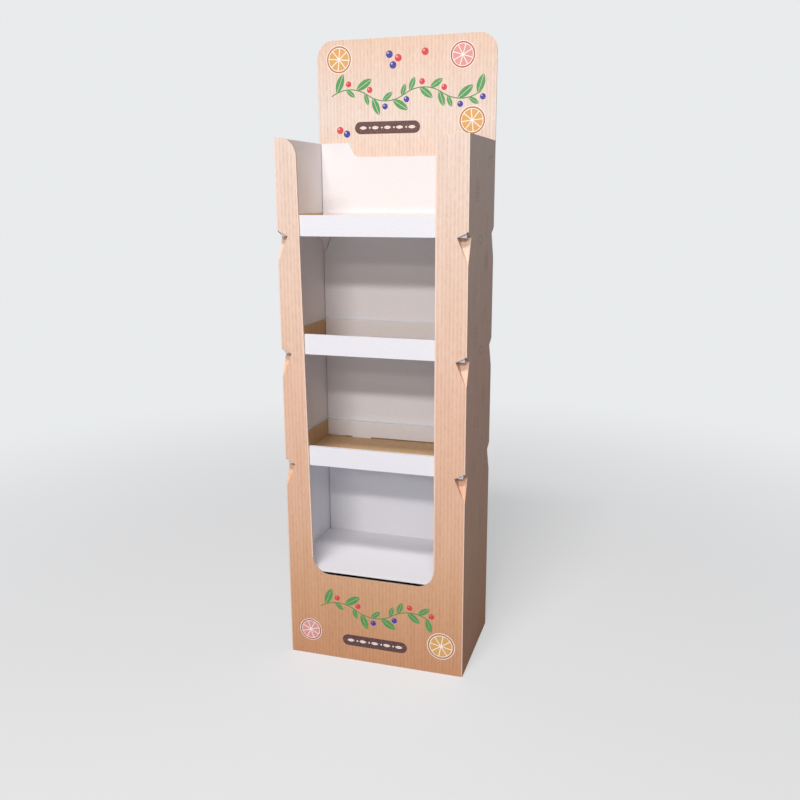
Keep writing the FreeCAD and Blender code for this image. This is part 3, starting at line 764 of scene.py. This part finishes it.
def finishPrint(panel, ink, copies):
    # joins what one panel has in one ink, and gives it the thickness of print
    bpy.ops.object.select_all(action="DESELECT")
    for copy in copies:
        copy.select_set(True)
    piece = copies[0]
    bpy.context.view_layer.objects.active = piece
    if len(copies) > 1:
        bpy.ops.object.join()
    piece.name = f"print_{panel}_{ink}"
    lift = inks[ink]["lift"]
    solid = piece.modifiers.new("thickness", "SOLIDIFY")
    solid.thickness = lift + printSink
    solid.offset = (lift - printSink) / (lift + printSink)
    bpy.ops.object.modifier_apply(modifier=solid.name)
    piece.data.materials.clear()
    piece.data.materials.append(inkMaterials[ink])
    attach(piece, "root")


def inkMaterial(ink, colour):
    # Water-based flexo ink on board: flat and matt, a little mottled where the paper took less of it.
    material, tree, shader = newMaterial(f"flexo ink, {ink}", 0.55)
    spots = readPlace(tree)
    wear = grain(tree, spots["along"], spots["place"]["Z"], inkWear["width"], inkWear["length"], 3)
    share = addNode(tree, "ShaderNodeMapRange", None,
                    {"Value": wear, "From Min": inkWear["from"], "From Max": inkWear["to"],
                     "To Max": inkWear["share"]})
    mottled = addNode(tree, "ShaderNodeMix", {"data_type": "RGBA"},
                      {mixFactor: share.outputs[0], mixA: linearColour(colour),
                       mixB: linearColour(kraftPrint["fadeAndPaintedLight"][-1][1])})
    tree.links.new(mottled.outputs[mixColour], shader.inputs["Base Color"])
    pressRibs(tree, shader, ribs(tree, spots["along"]), kraftPrint["ribHeight"])
    return material


inkMaterials = {ink: inkMaterial(ink, facts["colour"]) for ink, facts in inks.items()}

leafMaster = modelLeaf("leaf")
leafLine = modelLeaf("leaf_line", outlined=True)
berryMaster = modelBerry("berry")
ringLine = modelRing("ring_line", sliceShape["radius"], outlineWidth)
rindMaster = modelRing("rind", sliceShape["radius"], sliceShape["rind"])
pithMaster = modelPith("pith")
fleshMaster = modelFlesh("flesh")
fleshLine = modelFlesh("flesh_line", outlined=True)
labelMaster = modelLabel("label")
headerStem = modelStem("header_stem", 4)
baseStem = modelStem("base_stem", 3)
masters = [leafMaster, leafLine, berryMaster, ringLine, rindMaster, pithMaster, fleshMaster, fleshLine,
           labelMaster, headerStem, baseStem]
print("motifs modelled")

placeGarland("header", (-168 * mm, 1230 * mm), 4, headerStem, leafMaster, berryMaster)
placeSlice("header", "Gold", (-150 * mm, 1306 * mm), 0.3, 0.9)
placeSlice("header", "Pink", (128 * mm, 1304 * mm), 0.1, 0.85)
placeSlice("header", "Gold", (150 * mm, 1172 * mm), 0.5, 0.9)
placeLabel("header", (-40 * mm, 1162 * mm), labelMaster, leafMaster, berryMaster)
looseBerries = [(-34, 1312, "berryBlue"), (-14, 1304, "berryRed"), (-26, 1290, "berryBlue"),
                (46, 1314, "berryRed"), (-150, 1158, "berryRed"), (-134, 1150, "berryBlue")]
looseBerrySize = 1.1
for x, z, ink in looseBerries:
    placeMotif("header", ink, berryMaster, (x * mm, z * mm), 0.0, looseBerrySize)

placeGarland("base", (-126 * mm, 122 * mm), 3, baseStem, leafMaster, berryMaster)
placeSlice("base", "Gold", (152 * mm, 66 * mm), 0.2, 0.95)
placeSlice("base", "Pink", (-152 * mm, 60 * mm), 0.7, 0.8)
placeLabel("base", (0, 48 * mm), labelMaster, leafMaster, berryMaster)

# the sides carry the same motifs as faint lines, in two staggered columns
sideLayout = {"column": 48 * mm, "lowest": 90 * mm, "pitch": 96 * mm, "rows": 11, "seed": 11,
              "sway": 8, "stagger": 0.25, "sliceEvery": 3, "sliceSize": 0.7, "leafSize": 1.2}
chance = random.Random(sideLayout["seed"])
for panel in ("rightSide", "leftSide"):
    for row in range(sideLayout["rows"]):
        for column in (-1, 1):
            sway = chance.uniform(-sideLayout["sway"], sideLayout["sway"]) * mm
            x = column * sideLayout["column"] + sway
            z = sideLayout["lowest"] + (row + sideLayout["stagger"] * column) * sideLayout["pitch"]
            turn = chance.uniform(0, 2 * math.pi)
            if (row + column) % sideLayout["sliceEvery"] == 0:
                placeMotif(panel, "shade", ringLine, (x, z), turn, sideLayout["sliceSize"])
                placeMotif(panel, "shade", fleshLine, (x, z), turn, sideLayout["sliceSize"])
            else:
                placeMotif(panel, "shade", leafLine, (x, z), turn, sideLayout["leafSize"])

for (panel, ink), copies in placed.items():
    finishPrint(panel, ink, copies)
for master in masters:
    bpy.data.objects.remove(master)
print("print made:", len(placed), "pieces")


# The studio: a pale floor that runs into a pale world, and four wide soft lights in front

studio = {
    "floorSize": 40.0,
    "floorColour": "#e6e8ea",
    "floorBounce": "#8b96a8",      # what every ray but the camera's meets, so that less light comes back up
    "farColour": "#e9ebed",
    "nearShare": 0.5,              # share of the near floor that is the far colour, so that it looks even
    "evenFrom": 0.7,
    "evenTo": 2.6,
    "fillColour": "#f7ebe4",
    "fillStrength": 0.155,
    "lightColour": "#fffcfb",
    "lightSide": 0.2,
    # of each lamp the place along Y and the height in metres, the power in watts, and the size
    "lights": [(-4.4, 7.5, 382, (3.6, 0.9)), (-4.6, 3.3, 105, (2.2, 0.3)), (-5.6, 2.65, 24, (2.4, 0.22)),
               (-3.2, 0.7, 7, (1.4, 0.5))],
}


def buildStudio():
    bpy.ops.mesh.primitive_plane_add(size=studio["floorSize"], location=(0, 0, 0))
    floor = bpy.context.object
    floor.name = "studio_floor"
    material, tree, shader = newMaterial("pale floor", 0.9)
    source = addNode(tree, "ShaderNodeTexCoord")
    reach = addNode(tree, "ShaderNodeVectorMath", {"operation": "LENGTH"}, {0: source.outputs["Object"]})
    share = addNode(tree, "ShaderNodeMapRange", {"interpolation_type": "SMOOTHSTEP"},
                    {"Value": reach.outputs["Value"], "From Min": studio["evenFrom"],
                     "From Max": studio["evenTo"], "To Min": studio["nearShare"], "To Max": 1.0})
    path = addNode(tree, "ShaderNodeLightPath")
    seen = addNode(tree, "ShaderNodeMath", {"operation": "MULTIPLY"},
                   {0: share.outputs[0], 1: path.outputs["Is Camera Ray"]})
    colour = addNode(tree, "ShaderNodeMix", {"data_type": "RGBA"},
                     {mixFactor: path.outputs["Is Camera Ray"], mixA: linearColour(studio["floorBounce"]),
                      mixB: linearColour(studio["floorColour"])})
    tree.links.new(colour.outputs[mixColour], shader.inputs["Base Color"])
    far = addNode(tree, "ShaderNodeEmission", None,
                  {"Color": linearColour(studio["farColour"]), "Strength": 1.0})
    both = addNode(tree, "ShaderNodeMixShader", None,
                   {0: seen.outputs[0], 1: shader.outputs[0], 2: far.outputs[0]})
    output = [node for node in tree.nodes if node.type == "OUTPUT_MATERIAL"][0]
    tree.links.new(both.outputs[0], output.inputs["Surface"])
    floor.data.materials.append(material)

    world = bpy.data.worlds.new("pale studio")
    world.use_nodes = True
    tree = world.node_tree
    tree.nodes.clear()
    fill = addNode(tree, "ShaderNodeBackground", None,
                   {"Color": linearColour(studio["fillColour"]), "Strength": studio["fillStrength"]})
    backdrop = addNode(tree, "ShaderNodeBackground", None,
                       {"Color": linearColour(studio["farColour"]), "Strength": 1.0})
    path = addNode(tree, "ShaderNodeLightPath")
    glossyToo = addNode(tree, "ShaderNodeMath", {"operation": "MAXIMUM"},
                        {0: path.outputs["Is Camera Ray"], 1: path.outputs["Is Glossy Ray"]})
    clearToo = addNode(tree, "ShaderNodeMath", {"operation": "MAXIMUM"},
                       {0: glossyToo.outputs[0], 1: path.outputs["Is Transmission Ray"]})
    both = addNode(tree, "ShaderNodeMixShader", None,
                   {0: clearToo.outputs[0], 1: fill.outputs[0], 2: backdrop.outputs[0]})
    addNode(tree, "ShaderNodeOutputWorld", None, {"Surface": both.outputs[0]})
    bpy.context.scene.world = world

    aim = Vector((0, sleeveLow.y, 0.6 * sleeveHigh.z))
    for number, (y, z, power, size) in enumerate(studio["lights"], start=1):
        lamp = bpy.data.lights.new(f"soft light {number}", "AREA")
        lamp.shape = "RECTANGLE"
        lamp.size, lamp.size_y = size
        lamp.energy = power
        lamp.color = linearColour(studio["lightColour"])[:3]
        light = bpy.data.objects.new(lamp.name, lamp)
        light.location = (studio["lightSide"], y, z)
        light.rotation_euler = (aim - light.location).to_track_quat("-Z", "Y").to_euler()
        bpy.context.scene.collection.objects.link(light)


# The camera stands where the photograph was taken from
shot = {
    "place": (0.5588, -1.7408, 1.0187),
    "turn": math.radians(17.11),           # to the left of +Y
    "tilt": math.radians(13.6),            # below the horizon
    "roll": math.radians(-0.22),
    "lens": 38.22,
    "sensor": 36.0,
}


def placeCamera():
    data = bpy.data.cameras.new("photo camera")
    data.lens = shot["lens"]
    data.sensor_width = shot["sensor"]
    camera = bpy.data.objects.new("photo camera", data)
    swing = Matrix.Rotation(shot["turn"], 4, "Z") @ Matrix.Rotation(math.pi / 2 - shot["tilt"], 4, "X")
    camera.matrix_world = Matrix.Translation(shot["place"]) @ swing @ Matrix.Rotation(shot["roll"], 4, "Z")
    bpy.context.scene.collection.objects.link(camera)
    bpy.context.scene.camera = camera


bpy.ops.object.select_all(action="DESELECT")
buildStudio()
placeCamera()
bpy.context.scene.view_settings.view_transform = "Standard"
print("studio and camera placed")
